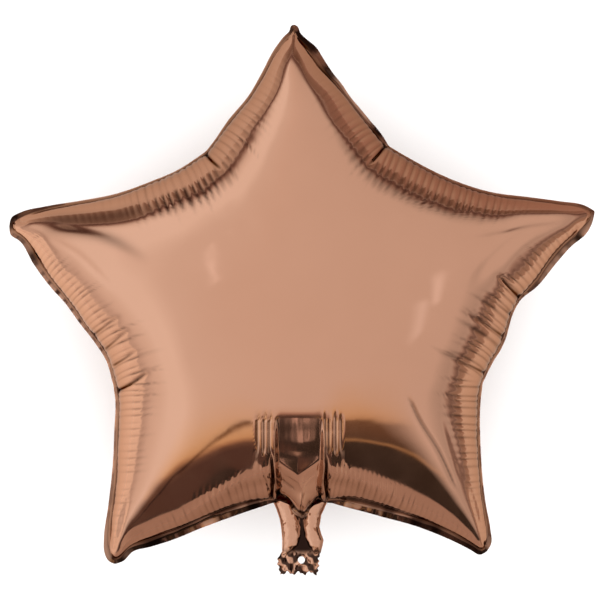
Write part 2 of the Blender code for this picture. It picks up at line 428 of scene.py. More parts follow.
# ---------------------------------------------------------------- the outline
# outer edge of the welded margin, per side from tip to notch and notch to tip, anticlockwise
# from the crown: drawing x, y, and the margin's width there
SIDES = [
    [(294, 23.3, 9), (290.2, 25.5, 9), (289.8, 30, 7), (284.5, 35, 5), (279, 42, 4), (273.5, 50, 3), (262, 72, 3), (248, 96, 3), (228, 120, 3), (213, 142, 2)],
    [(206, 151, 2), (196, 158, 2), (179, 169, 2), (150, 181.5, 2), (114, 194, 3), (80, 200.5, 3), (46, 206, 4), (19, 212.5, 5), (11, 217, 5)],
    [(8.5, 226, 6), (10, 235, 7), (18, 240, 7), (33, 264, 7), (51, 288, 6), (63, 301, 5), (80, 324, 4), (94, 342, 4), (106, 361, 4)],
    [(113, 385, 3), (115, 400, 4), (114, 430, 4), (113, 456, 4), (111, 480, 5), (108, 505, 5), (103.5, 540, 6), (104, 553, 6), (108, 561, 6)],
    [(115, 564.5, 7), (124, 561, 7), (131, 553, 8), (150, 547.5, 9), (173, 540, 9), (202, 528, 9), (235, 516, 9), (262, 507, 8), (274, 503, 4)],
    [(302, 520, 1), (329, 503, 4), (341, 506, 8), (378, 516, 9), (420, 528, 9), (450, 540, 8), (472, 551, 7), (480, 555.5, 7)],
    [(487, 552, 6), (491.5, 544, 5), (490.5, 528, 4), (486, 504, 3), (483, 480, 3), (481, 450, 3), (481, 400, 3)],
    [(483, 383, 3), (494, 361, 3), (502, 348, 3), (507, 336, 3), (510, 324, 3), (514, 312, 3), (521, 300, 3),
     (537, 287, 5), (556, 264, 8), (571, 247, 8), (588, 232, 7), (593, 222, 6)],
    [(595.5, 211, 5), (586, 205.5, 4), (560, 201, 3), (530, 197, 3), (492, 192, 3), (454, 180, 3), (428, 168, 3), (406, 156, 2)],
    [(389, 146, 2), (381, 133, 5), (370, 120, 5), (360, 108, 4), (350, 96, 4), (342, 84, 3), (334, 74, 7), (323, 57, 9),
     (316, 46, 9), (307.5, 39, 8), (299.6, 31, 8), (298.4, 26, 9)],
]


def target_outline():
    """Fin edge and seam in plan, one point for each column."""
    edge, width = [], []
    for k in range(10):
        pts = np.array(SIDES[k] + [SIDES[(k + 1) % 10][0]], float)
        d = np.r_[0, np.cumsum(np.hypot(*np.diff(pts[:, :2], axis=0).T))]
        fine = spline_points(pts[:, :2], 400)
        df = np.r_[0, np.cumsum(np.hypot(*np.diff(fine, axis=0).T))]
        t = side_share[k] * df[-1]
        edge.append(np.c_[np.interp(t, df, fine[:, 0]), np.interp(t, df, fine[:, 1])])
        width.append(np.interp(side_share[k] * d[-1], d, pts[:, 2]))
    edge = ring_smooth(np.vstack(edge), 1.3 * MM / STEP)
    width = ring_smooth(np.concatenate(width), 5 * MM / STEP) * UNIT
    plan = np.c_[CAM_X + (edge[:, 0] - 300) * UNIT, CAM_Y + (300 - edge[:, 1]) * UNIT]
    soft = ring_smooth(plan, 4 * MM / STEP)
    along = np.roll(soft, -1, axis=0) - np.roll(soft, 1, axis=0)
    out = np.c_[along[:, 1], -along[:, 0]] / np.hypot(*along.T)[:, None]
    return plan, plan - out * width[:, None], out, width



# ---------------------------------------------------------------- faces between rows
def strip_faces():
    """Triangles between rows, with a fan at the middle; anticlockwise seen from +Z."""
    F = []
    start = np.r_[0, np.cumsum(counts)]
    for i in range(len(counts) - 1):
        n, m = counts[i], counts[i + 1]
        a0, b0 = start[i], start[i + 1]
        j = np.arange(m)
        b, bn = b0 + j, b0 + (j + 1) % m
        if n == m:
            a, an = a0 + j, a0 + (j + 1) % n
            F += [np.c_[a, an, bn], np.c_[a, bn, b]]
        else:
            a, am, an = a0 + 2 * j, a0 + 2 * j + 1, a0 + (2 * j + 2) % n
            F += [np.c_[a, am, b], np.c_[am, bn, b], np.c_[am, an, bn]]
    n, a0 = counts[-1], start[-2]
    j = np.arange(n)
    F.append(np.c_[a0 + j, a0 + (j + 1) % n, np.full(n, start[-1])])
    return np.vstack(F)


def finer(flat, values, F):
    """Split the long edges of the faces round the neck; values go with the points."""
    for _ in range(5):
        E, _, _, _, inverse = edge_table(F)
        gap = (flat[E[:, 0]] - flat[E[:, 1]]) / (np.array([0.54, 1.7]) * MM)
        mid = 0.5 * (flat[E[:, 0]] + flat[E[:, 1]])
        split = (np.hypot(*gap.T) > 1.25) & in_neck(mid)
        if not split.any():
            break
        new = np.full(len(E), -1)
        new[split] = len(flat) + np.arange(split.sum())
        flat = np.vstack([flat, mid[split]])
        values = np.vstack([values, 0.5 * (values[E[split, 0]] + values[E[split, 1]])])
        cut = new[inverse].reshape(3, -1).T
        n = (cut >= 0).sum(1)
        f, c = F[n == 3], cut[n == 3]
        out = [F[n == 0], np.c_[f[:, 0], c[:, 0], c[:, 2]], np.c_[f[:, 1], c[:, 1], c[:, 0]], np.c_[f[:, 2], c[:, 2], c[:, 1]], c]
        for k in range(3):
            f, c = np.roll(F, -k, axis=1), np.roll(cut, -k, axis=1)
            i = (n == 1) & (c[:, 0] >= 0)
            out += [np.c_[f[:, 0], c[:, 0], f[:, 2]][i], np.c_[c[:, 0], f[:, 1], f[:, 2]][i]]
            i = (n == 2) & (c[:, 2] < 0)
            out += [np.c_[c[:, 0], f[:, 1], c[:, 1]][i], np.c_[f[:, 0], c[:, 0], c[:, 1]][i], np.c_[f[:, 0], c[:, 1], f[:, 2]][i]]
        F = np.vstack(out)
    return flat, values, F


counts = [len(r[0]) for r in ROWS]
flat_all = np.vstack([r[0] for r in ROWS] + [ROWS[-1][0].mean(0)])
dist_all = np.concatenate([r[1] for r in ROWS] + [ROWS[-1][1].max(keepdims=True)])
col_all = np.concatenate([np.arange(n) * (NC // n) for n in counts] + [[0]])
flat_all, more, PANEL_F = finer(flat_all, np.c_[dist_all, col_all], strip_faces())
dist_all, col_all = more[:, 0], np.round(more[:, 1]).astype(int)
macro = inflated(flat_all)
macro[:, 1] -= 6.5 * UNIT
seam = macro[:NC]
seam_step = np.hypot(*(np.roll(seam[:, :2], -1, axis=0) - seam[:, :2]).T)
side_share = []
for k in range(10):
    part = seam_step[side_start[k]:side_start[k + 1]]
    side_share.append(np.r_[0, np.cumsum(part)[:-1]] / part.sum())
EDGE, SEAM, OUT, FIN_W = target_outline()

# draw the inflated film's plan to the outline, in three passes from wide to local
for sigma, every in ((40 * MM, 24), (16 * MM, 12), (6 * MM, 6)):
    ctrl = macro[:NC:every, :2].copy()
    push = SEAM[::every] - ctrl
    num = np.zeros((len(macro), 2))
    den = np.full(len(macro), 0.15 * sigma / (seam_step.mean() * every))
    for c, p in zip(ctrl, push):
        g = np.exp(-((macro[:, 0] - c[0]) ** 2 + (macro[:, 1] - c[1]) ** 2) / (2 * sigma**2))
        num += g[:, None] * p
        den += g
    macro[:, :2] += num / den[:, None]
macro[:NC, :2] = SEAM
macro[:, 2] *= 0.0825 / macro[:, 2].max()


# ---------------------------------------------------------------- the film on the macro shape
def vertex_normals(X, F):
    a = X[F]
    n = np.cross(a[:, 1] - a[:, 0], a[:, 2] - a[:, 0])
    out = np.stack([sum(np.bincount(F[:, k], n[:, c], len(X)) for k in range(3)) for c in range(3)], 1)
    return out / (np.linalg.norm(out, axis=1)[:, None] + 1e-15)


NORMAL = vertex_normals(macro, PANEL_F)

# film distance at which the panel slopes 45 degrees, for each column
steep = np.array([NORMAL[sum(counts[:i]):sum(counts[:i + 1]), 2][(np.arange(NC) * counts[i]) // NC]
                  for i in range(len(counts))])
D45 = np.full(NC, 20 * MM)
for j in range(NC):
    k = np.where(steep[:, j] < math.cos(math.radians(45)))[0]
    k = k[k < 40]
    D45[j] = ROWS[k[-1]][1][0] if len(k) else 8 * MM
D45 = np.maximum(ring_smooth(D45, 6 * MM / STEP), 9 * MM)

# ---------------------------------------------------------------- pleats that the seam draws in the film
rng = np.random.default_rng(7)
seam_arc = np.r_[0, np.cumsum(np.hypot(*(np.roll(SEAM, -1, axis=0) - SEAM).T))]
SEAM_LEN = seam_arc[-1]
seam_arc = seam_arc[:-1]


def by_side(knots):
    """Value for each column from (side number + fraction, value) knots, joined smoothly."""
    at = np.concatenate([k + side_share[k] for k in range(10)])
    x, y = zip(*knots)
    x, y = np.array(x, float), np.array(y, float)
    return np.interp(at, np.r_[x[-1] - 10, x, x[0] + 10], np.r_[y[-1], y, y[0]])


PITCH = ring_smooth(by_side([(0.5, 5.0), (0.9, 5.2), (1.0, 5.3), (1.35, 5.3), (1.7, 5.2), (2.3, 4.3), (2.8, 4.5), (3.5, 5.4), (4.5, 4.7),
                             (5.5, 3.9), (6.5, 5.2), (7.2, 5.4), (7.8, 4.4), (8.6, 5.3), (9.1, 5.4), (9.5, 5.0)]),
                    10 * MM / STEP) * MM
turns = np.r_[0, np.cumsum(np.diff(np.r_[seam_arc, SEAM_LEN]) / PITCH)]
N_PLEAT = int(round(turns[-1]))
phase = turns[:-1] * N_PLEAT / turns[-1]
share = np.arange(NC) / NC
phase = phase + 0.13 * wave_noise(rng, share, N_PLEAT // 4, 2)
# depth of the pleats in millimetres
amount = ring_smooth(by_side([
    (0.0, 0.0), (0.45, 0.10), (0.75, 0.40), (0.9, 0.65), (0.97, 0.5), (1.04, 1.3), (1.26, 1.35), (1.33, 0.95), (1.40, 0.3), (1.7, 0.12),
    (2.0, 0.0), (2.15, 0.2), (2.35, 0.45), (2.7, 0.5), (2.98, 0.6), (3.08, 0.40), (3.3, 0.22), (3.7, 0.2), (4.0, 0.0),
    (4.25, 0.2), (4.5, 0.38), (4.8, 0.5), (4.93, 0.2), (5.07, 0.2), (5.2, 0.6), (5.5, 0.62), (5.8, 0.22), (6.0, 0.0),
    (6.2, 0.2), (6.5, 0.45), (6.75, 0.75), (7.0, 1.05), (7.40, 1.05), (7.52, 0.50), (7.8, 0.35), (8.0, 0.0), (8.3, 0.10),
    (8.42, 0.40), (8.55, 0.85), (8.95, 1.05), (9.12, 0.60), (9.3, 0.25), (9.6, 0.05)]), 3 * MM / STEP) * MM


def seam_feet():
    """For each vertex: its side, the place along that side of its foot on the seam (a share, may run past
    the corners), and how far it is from the folds that run inwards from the side's two corners."""
    flat = flat_all
    side = np.clip(np.searchsorted(side_start, col_all, side="right") - 1, 0, 9)
    inset = inset_corners(0.03) - FLAT
    inset /= np.hypot(*inset.T)[:, None]
    along = np.roll(FLAT, -1, axis=0) - FLAT
    long = np.hypot(*along.T)
    along /= long[:, None]
    a = ((flat - FLAT[side]) * along[side]).sum(1)
    foot = a / long[side]
    gap = np.full(len(flat), 1.0)
    for end in (side, (side + 1) % 10):
        q = flat - FLAT[end]
        gap = np.minimum(gap, np.abs(q[:, 0] * inset[end, 1] - q[:, 1] * inset[end, 0]))
    return side, foot, gap


def at_foot(values, ramp=False):
    """Values given for each column, read at each vertex's foot; a ramp keeps its slope past the corners."""
    v = np.r_[values, values[0] + (N_PLEAT if ramp else 0)]
    out = np.zeros(len(FOOT))
    for k in range(10):
        i = np.where(FOOT_SIDE == k)[0]
        part = v[side_start[k]:side_start[k + 1] + 1]
        out[i] = np.interp(FOOT[i], PLACES[k], part)
        if ramp:
            past = FOOT[i] - np.clip(FOOT[i], 0, 1)
            out[i] += past * side_len[k] / np.where(past < 0, PITCH[side_start[k]], PITCH[side_start[k + 1] - 1])
    return out


FOOT_SIDE, FOOT, FOLD_GAP = seam_feet()
# on a side the pleats run square to the seam; near the notches they lean with the film
VERTEX_PHASE = at_foot(phase, ramp=True)
VERTEX_AMOUNT = at_foot(amount)
VERTEX_D45 = at_foot(D45)
VERTEX_PAINTED_STROKE = at_foot(ring_smooth(by_side([(0.0, 0.0), (0.95, 0.0), (1.03, 0.9), (1.28, 1.0), (1.36, 0.0), (8.45, 0.0), (8.6, 0.5), (8.95, 0.55),
                                             (9.1, 0.4), (9.2, 0.0)]), 3 * MM / STEP))
VERTEX_REACH = at_foot(ring_smooth(by_side([(0.0, 1.0), (1.0, 0.95), (1.5, 0.95), (2.5, 1.0), (3.9, 0.95), (4.1, 0.80), (5.9, 0.78),
                                            (6.1, 0.9), (7.0, 0.95), (7.9, 1.0), (8.3, 0.9), (9.0, 0.9), (9.5, 1.0)]), 8 * MM / STEP))


def per_pleat(rng, lo, hi):
    """A random value for each pleat, eased from one pleat to the next; one number a vertex."""
    v = rng.uniform(lo, hi, N_PLEAT)
    k = np.floor(VERTEX_PHASE).astype(int)
    t = VERTEX_PHASE - k
    t = t * t * (3 - 2 * t)
    return v[k % N_PLEAT] * (1 - t) + v[(k + 1) % N_PLEAT] * t


def pleat_profile(ph, sharp=0.3):
    """Round crest, narrower valley; from about -0.5 to 0.35."""
    s = np.sin(math.pi * ph)
    return 1.15 * (np.sqrt(s * s + sharp * sharp) - 0.72)


def pleats(rng):
    """Height of the pleats over the macro shape, for each vertex, and the painted shade in their valleys."""
    size = per_pleat(rng, 0.5, 1.3) * VERTEX_AMOUNT
    reach = per_pleat(rng, 1.20, 1.62) * VERTEX_REACH
    rho = dist_all / VERTEX_D45
    env = (0.62 + 0.38 * smoothstep(rho, 0.4, 0.8)) * (1 - smoothstep(rho, 0.58 * reach, reach))
    env *= smoothstep(FOLD_GAP, 0.3 * MM, 5 * MM)
    env *= 1 - (1 - smoothstep(np.abs(flat_all[:, 0]), 19 * MM, 27 * MM)) * (flat_all[:, 1] < -0.09)
    valley = np.abs(VERTEX_PHASE - np.round(VERTEX_PHASE))
    # painted shade in the pleat valleys, heavier further in from the seam
    shade_mark = (0.32 * (1 - 0.7 * VERTEX_PAINTED_STROKE) + 0.4 * smoothstep(rho, 0.72, 0.92)) * np.exp(-(valley / 0.14) ** 2)
    shade_mark *= np.clip(1.6 * size * env / MM, 0, 1) * smoothstep(rho, 0.1, 0.3)
    # where the seam gathers the film most, short dark strokes of painted shade are laid in the valleys
    painted_stroke = VERTEX_PAINTED_STROKE * smoothstep(rho, 0.74, 0.84) * (1 - smoothstep(rho, 1.14, 1.32)) * np.exp(-(valley / 0.23) ** 2)
    shade_mark = np.maximum(shade_mark, 0.85 * painted_stroke)
    return size * env * pleat_profile(VERTEX_PHASE), shade_mark


def fin_wave(rng):
    """Height of the margin's outer edge over the seam line: the pleats twist the welded margin."""
    slow = wave_noise(rng, share, N_PLEAT // 5, 2)
    size = ring_smooth(by_side([(0.0, 0.5), (0.5, 0.5), (1.0, 0.3), (1.9, 0.5), (2.1, 0.7), (2.6, 0.7), (3.0, 0.3), (3.9, 0.6),
                                (4.1, 0.9), (5.0, 0.8), (5.9, 0.9), (6.1, 0.6), (7.0, 0.3), (7.5, 0.35), (7.9, 0.4), (8.1, 0.5),
                                (8.9, 0.4), (9.1, 0.6), (9.9, 0.8)]), 8 * MM / STEP) * MM
    tilt = ring_smooth(by_side([(0.0, 1.3), (0.08, 1.2), (0.2, 1.8), (1.0, 1.9), (1.65, 1.8), (1.85, 1.2), (2.0, 1.2), (2.1, 1.2),
                                (2.3, 1.0), (2.45, 0.9), (3.0, 1.3), (3.7, 1.2), (3.9, 0.8), (4.0, 0.6), (4.1, 0.9), (4.25, 0.9),
                                (4.4, 0.3), (4.55, 0.3), (4.7, 0.9), (5.0, 0.8), (5.15, 0.8), (5.3, 0.4), (5.5, 0.8),
                                (5.85, 0.9), (6.0, 0.7), (6.15, 1.3), (7.0, 1.6), (7.45, 1.4), (7.6, 0.9), (7.8, 0.8),
                                (7.95, 0.8), (8.1, 1.7), (9.0, 1.8), (9.12, 0.9), (9.3, 0.9), (9.5, 0.6), (9.6, 1.2), (9.9, 1.3)]), 5 * MM / STEP)
    return size * (0.9 * np.tanh(slow) + 0.07 * np.sin(math.pi * phase)) - 0.75 * tilt * FIN_W


# ---------------------------------------------------------------- single folds, on the drawing
# (kind, points, depth in millimetres, half width in drawing units, share of the length that fades in, and out)
FOLDS = [
    ("cut", [(200, 147), (209, 158), (225, 172)], 2.0, 2.0, 0.01, 0.4),
    ("cut", [(387, 144), (378, 155), (366, 167)], 2.0, 2.0, 0.01, 0.4),
    ("cut", [(112, 393), (130, 384), (153, 368)], 2.0, 2.0, 0.01, 0.4),
    ("cut", [(523, 301), (511, 288), (497, 271)], 2.4, 2.0, 0.01, 0.35),
    ("cut", [(487, 374), (458, 360), (427, 344)], 1.4, 1.9, 0.01, 0.6),
    ("cut", [(507, 339), (484, 322), (462, 306)], 1.5, 1.9, 0.01, 0.4),
    ("cut", [(515, 318), (496, 303), (480, 293)], 0.9, 1.8, 0.01, 0.4),
    ("cut", [(92, 336), (108, 324), (123, 313)], 1.1, 2.0, 0.05, 0.4),
    ("cut", [(104, 350), (118, 338), (131, 327)], 1.2, 2.0, 0.05, 0.4),
    ("cut", [(112, 366), (125, 358), (138, 349)], 1.3, 2.0, 0.05, 0.4),
    ("band", [(26, 221.5), (75, 219), (110, 216.5), (158, 205)], 0.5, 6.2, 0.3, 0.2),
    ("drop", [(28, 226), (75, 231.5), (104, 237), (130, 249), (152, 264)], 1.45, 6.0, 0.35, 0.4),
    ("soft", [(48, 238), (75, 252), (98, 273), (120, 295)], 0.6, 3.5, 0.2, 0.4),
    ("ridge", [(295, 40), (286, 75), (272, 102), (257, 122), (236, 150)], 0.55, 7.0, 0.2, 0.3),
    ("ridge", [(296, 42), (305, 77), (317, 100), (330, 122), (348, 146)], 0.55, 7.0, 0.2, 0.2),
    ("ridge", [(583, 213.5), (550, 215), (510, 213), (475, 208), (448, 200)], 0.5, 7.0, 0.15, 0.2),
    ("ridge", [(582, 214), (560, 226), (527, 242), (496, 277)], 0.75, 7.0, 0.2, 0.2),
    ("rise", [(462, 366), (461, 400), (465, 440), (474, 486)], 0.3, 6.0, 0.2, 0.4),
    ("soft", [(580, 218), (540, 222), (500, 229), (456, 240)], 0.75, 4.5, 0.3, 0.3),
    ("soft", [(556, 224), (520, 236), (490, 262), (466, 296)], 0.7, 5.5, 0.3, 0.3),
    ("soft", [(560, 216), (520, 222), (476, 250), (440, 268)], 0.6, 6.0, 0.3, 0.5),
    ("line", [(407, 394), (419, 420), (438, 449), (458, 492)], 0.4, 2.6, 0.15, 0.15),
    ("soft", [(440, 404), (452, 442), (467, 492)], 0.4, 3.5, 0.4, 0.3),
    ("soft", [(487, 548), (478, 515), (468, 478)], 0.9, 2.8, 0.05, 0.4),
    ("soft", [(113, 553), (122, 520), (130, 486)], 0.8, 2.8, 0.05, 0.5),
    ("cut", [(270.5, 446), (271.5, 462), (271.5, 494), (270.5, 504)], 3.4, 1.9, 0.35, 0.01),
    ("cut", [(325.5, 446), (326.5, 462), (328, 497), (329, 504)], 3.4, 1.9, 0.35, 0.01),
    ("cut", [(275, 488), (282, 494), (290, 501)], 0.8, 1.6, 0.3, 0.3),
    ("cut", [(304, 517), (310, 511), (316, 504)], 0.8, 1.6, 0.2, 0.3),
    ("cut", [(301.5, 521), (300, 511), (297, 498)], 0.6, 1.8, 0.05, 0.5),
    ("line", [(257, 409), (257.3, 436), (257.5, 458)], 0.6, 1.8, 0.3, 0.3),
    ("line", [(263.6, 409), (263.8, 436), (264, 458)], 1.1, 1.5, 0.3, 0.2),
    ("line", [(269.2, 409), (269.2, 436), (269.4, 458)], 0.8, 1.4, 0.3, 0.2),
    ("line", [(325.6, 409), (325.8, 436), (326, 458)], 1.0, 1.4, 0.3, 0.2),
    ("line", [(329, 411), (329, 436), (329, 458)], 0.7, 1.4, 0.3, 0.2),
    ("line", [(336, 409), (336, 436), (336, 458)], 1.0, 1.5, 0.3, 0.2),
    ("line", [(341.5, 411), (341.5, 436), (341.5, 456)], 0.6, 1.8, 0.3, 0.3),
]


def fold_height(px, py, kind, pts, depth, width, fade_in, fade_out):
    """Height of one fold, and the painted shade laid along it (0..1), for points of the drawing."""
    pts = np.asarray(pts, float)
    h, painted_shade = np.zeros(len(px)), np.zeros(len(px))
    far = 80 if kind == "drop" else 6 * width
    near = np.where((px > pts[:, 0].min() - far) & (px < pts[:, 0].max() + far)
                    & (py > pts[:, 1].min() - far) & (py < pts[:, 1].max() + far))[0]
    d, f, side = polyline_distance(px[near], py[near], spline_points(pts, 14))
    live = smoothstep(f, 0.0, fade_in) * (1 - smoothstep(f, 1 - fade_out, 1.0))
    shape = {"cut": -np.exp(-d / width), "soft": -np.exp(-(d / width) ** 2),
             "band": -np.exp(-(d / width) ** 2), "rise": np.exp(-(d / width) ** 2),
             "line": -np.exp(-(d / width) ** 2),
             "ridge": np.exp(-np.sqrt(d * d + 2.0) / width) - 0.0025,
             "drop": smoothstep(side * d, -width, width) * np.exp(-(d / 36.0) ** 2)}[kind]
    h[near] = depth * MM * live * shape
    # painted shade: cut, drop, band and line folds darken the colour along their middle, in place of the shade in the
    # fold
    if kind == "cut":
        painted_shade[near] = 0.9 * live * np.exp(-(d / (1.0 + 0.28 * depth)) ** 2) * min(1.0, depth / 2)
    if kind in ("drop", "band"):
        painted_shade[near] = 0.5 * live * np.exp(-(d / width) ** 2)
    if kind == "line":
        painted_shade[near] = 0.6 * live * np.exp(-(d / 1.1) ** 2)
    return h, painted_shade


# slope that the strip has over the film beside it, along its length (drawing y, slope), and less slope above its V
STRIP_SLOPE = np.array([(405, 0.0), (411, 0.03), (417, 0.16), (424, 0.24), (430, 0.215), (436, 0.17), (440, 0.14), (444, 0.15),
                        (448, 0.18), (452, 0.23), (456, 0.27), (460, 0.26), (464, 0.20), (468, 0.12), (472, 0.05), (476, 0.0), (560, 0.0)])
V_SLOPE = np.array([(405, 0.0), (458, 0.0), (466, -0.06), (471, -0.20), (478, -0.28), (481, -0.10), (483, 0.0), (560, 0.0)])


def neck_height(px, py):
    """The strip that the valve film holds down above the bottom notch, and the film beside it."""
    dx = np.abs(px - 299.5)
    strip = 1 - smoothstep(dx, 21.0, 25.5)
    ys = np.linspace(405, 560, 311)
    sunk = np.interp(py, ys, np.cumsum(np.interp(ys, *STRIP_SLOPE.T)) * 0.5)
    # its lower end turns down along a V
    sunk += np.interp(py + 0.60 * np.abs(px - 297.5), ys, np.cumsum(np.interp(ys, *V_SLOPE.T)) * 0.5)
    rim = np.where(dx < 27, 520 - 0.72 * dx, 501 + 0.34 * (dx - 27))
    h = -UNIT * sunk * strip * (1 - smoothstep(py, 500, 519))
    # faint upright ripples in the strip
    h += 0.004 * MM * strip * np.cos(2 * math.pi * (px - 297.0) / 6.4) * smoothstep(py, 412, 422) * (1 - smoothstep(py, 452, 470))
    # flatter ribbons on both sides, which keep the light longer
    side = smoothstep(dx, 21, 25) * (1 - smoothstep(dx, 40, 47))
    h += UNIT * 0.07 * np.clip(py - 430, 0, 23) * side * (1 - smoothstep(py, 462, 492))
    # the film turns down earlier round the neck, and keeps that until close to the seam
    turn = np.where(dx < 22, 493 - 0.78 * np.abs(px - 297.5), 475 + 0.42 * (dx - 26))
    back_up = 1 - smoothstep(py, rim - 17, rim - 1)
    h += -3.0 * MM * (1 - smoothstep(dx, 50, 125)) * smoothstep(py, turn - 13, turn + 8) * back_up
    # on the left the film stays flatter for longer before it turns down
    t = py - (474 + 0.46 * (240 - px))
    hold = smoothstep(dx, 52, 92) * (1 - smoothstep(dx, 105, 150)) * (px < 299.5)
    h += 1.9 * MM * hold * smoothstep(t, -21, 13) * (1 - smoothstep(t, 14, 33))
    # the line where it turns down is scalloped by the seam's pleats
    low = np.where(px > 299.5, 457.5 + 0.40 * (dx - 26), 463 + 0.44 * (dx - 37))
    beat = np.where(px > 299.5, np.cos(2 * math.pi * px / 4.6), np.cos(2 * math.pi * px / 6.4))
    t = py - low
    h += 0.22 * MM * beat * smoothstep(dx, 29, 38) * (1 - smoothstep(dx, 80, 115)) * smoothstep(t, -6, 4) * (1 - smoothstep(t, 7, 19))
    return h


def front_folds(P):
    px, py = plan_to_draw(P + np.array([0, 0, SEAM_Z]))
    h = neck_height(px, py)
    # painted shade that the folds lay along themselves, the darkest one kept
    painted_shade = np.zeros(len(px))
    for fold in FOLDS:
        one, shade_mark = fold_height(px, py, *fold)
        h += one
        painted_shade = np.maximum(painted_shade, shade_mark)
    return P + NORMAL * h[:, None], painted_shade


rng = np.random.default_rng(11)
# painted shade on the margin: how dark it is along the outline
FIN_PAINTED_SHADE = by_side([(0.0, 0.95), (0.06, 0.9), (0.1, 0.2), (0.5, 0.25), (1.0, 0.15), (1.6, 0.15), (1.74, 0.4), (1.8, 0.9), (1.98, 0.9),
                    (2.0, 0.7), (2.05, 0.9), (2.2, 0.85), (2.3, 0.3), (2.6, 0.35), (3.0, 0.15), (3.4, 0.3), (3.9, 0.5), (4.05, 0.8),
                    (4.3, 0.9), (4.5, 0.45), (4.65, 0.85), (4.98, 0.95), (5.1, 0.9), (5.25, 0.5), (5.5, 0.8), (5.9, 0.85), (6.05, 0.6),
                    (6.2, 0.15), (7.0, 0.1), (7.4, 0.3), (7.55, 0.5), (7.7, 0.3), (8.0, 0.4), (8.1, 0.1), (9.0, 0.2), (9.08, 0.75),
                    (9.25, 0.7), (9.32, 0.2), (9.5, 0.2), (9.58, 0.85), (9.99, 0.95)])
FIN_PAINTED_SHADE = np.clip(FIN_PAINTED_SHADE * (1.0 + 0.35 * wave_noise(rng, share, 60, 2)), 0, 1) ** 1.3
CALM = ring_smooth(by_side([(4.0, 1.0), (4.2, 0.5), (5.8, 0.5), (6.0, 1.0), (7.42, 1.0), (7.55, 0.25), (8.0, 0.3), (8.3, 1.0)]), 4 * MM / STEP)
SEAM_WAVE = np.minimum(amount, 0.45 * MM) * CALM * (0.9 * np.sin(math.pi * phase) + 0.4 * wave_noise(rng, share, N_PLEAT // 6, 1))
FIN_Z = SEAM_WAVE + fin_wave(rng)


def panel(seed, folds_and_shade=None):
    """One panel with its half of the margin: vertices with z over the seam plane, faces, and the painted shade of each
    vertex.
    """
    rng = np.random.default_rng(seed)
    height, painted_shade = pleats(rng)
    P = macro + NORMAL * height[:, None] * smoothstep(dist_all, 0, 5 * MM)[:, None]
    if folds_and_shade is not None:
        P, cut = folds_and_shade(P)
        painted_shade = np.maximum(painted_shade, cut)
    # painted shade along the weld, where the margin meets the film, darker where the margin is painted dark
    painted_shade = np.maximum(painted_shade, (0.45 + 0.4 * FIN_PAINTED_SHADE[col_all]) * (1 - smoothstep(dist_all, 0, 1.9 * MM)))
    P[:, 2] += SEAM_WAVE[col_all] * (1 - smoothstep(dist_all, 0, 12 * MM))
    mid = 0.5 * (SEAM + EDGE)
    # the weld keeps the margin's two layers together
    rim = np.c_[EDGE, FIN_Z]
    web = np.c_[mid, 0.5 * (SEAM_WAVE + FIN_Z) + 0.1 * MM]
    j = np.arange(NC)
    k = (j + 1) % NC
    F = [np.c_[j, k, NC + k], np.c_[j, NC + k, NC + j], np.c_[NC + j, NC + k, 2 * NC + k], np.c_[NC + j, 2 * NC + k, 2 * NC + j],
         PANEL_F + 2 * NC]
    # the margin's two rows carry its painted shade
    return np.vstack([rim, web, P]), np.vstack(F), np.r_[0.9 * FIN_PAINTED_SHADE, np.maximum(0.95 * FIN_PAINTED_SHADE, 0.45), painted_shade]


def add_mesh(name, V, F, material, smooth=True, painted_shade=None):
    me = bpy.data.meshes.new(name)
    me.vertices.add(len(V))
    me.vertices.foreach_set("co", np.asarray(V, np.float32).ravel())
    me.loops.add(3 * len(F))
    me.loops.foreach_set("vertex_index", np.asarray(F, np.int32).ravel())
    me.polygons.add(len(F))
    me.polygons.foreach_set("loop_start", np.arange(0, 3 * len(F), 3, dtype=np.int32))
    me.polygons.foreach_set("use_smooth", np.full(len(F), smooth))
    me.update(calc_edges=True)
    me.materials.append(material)
    # the painted shade is stored on the mesh as a point attribute
    if painted_shade is not None:
        me.attributes.new("painted_shade", "FLOAT", "POINT").data.foreach_set("value", np.asarray(painted_shade, np.float32))
    ob = bpy.data.objects.new(name, me)
    bpy.context.scene.collection.objects.link(ob)
    return ob


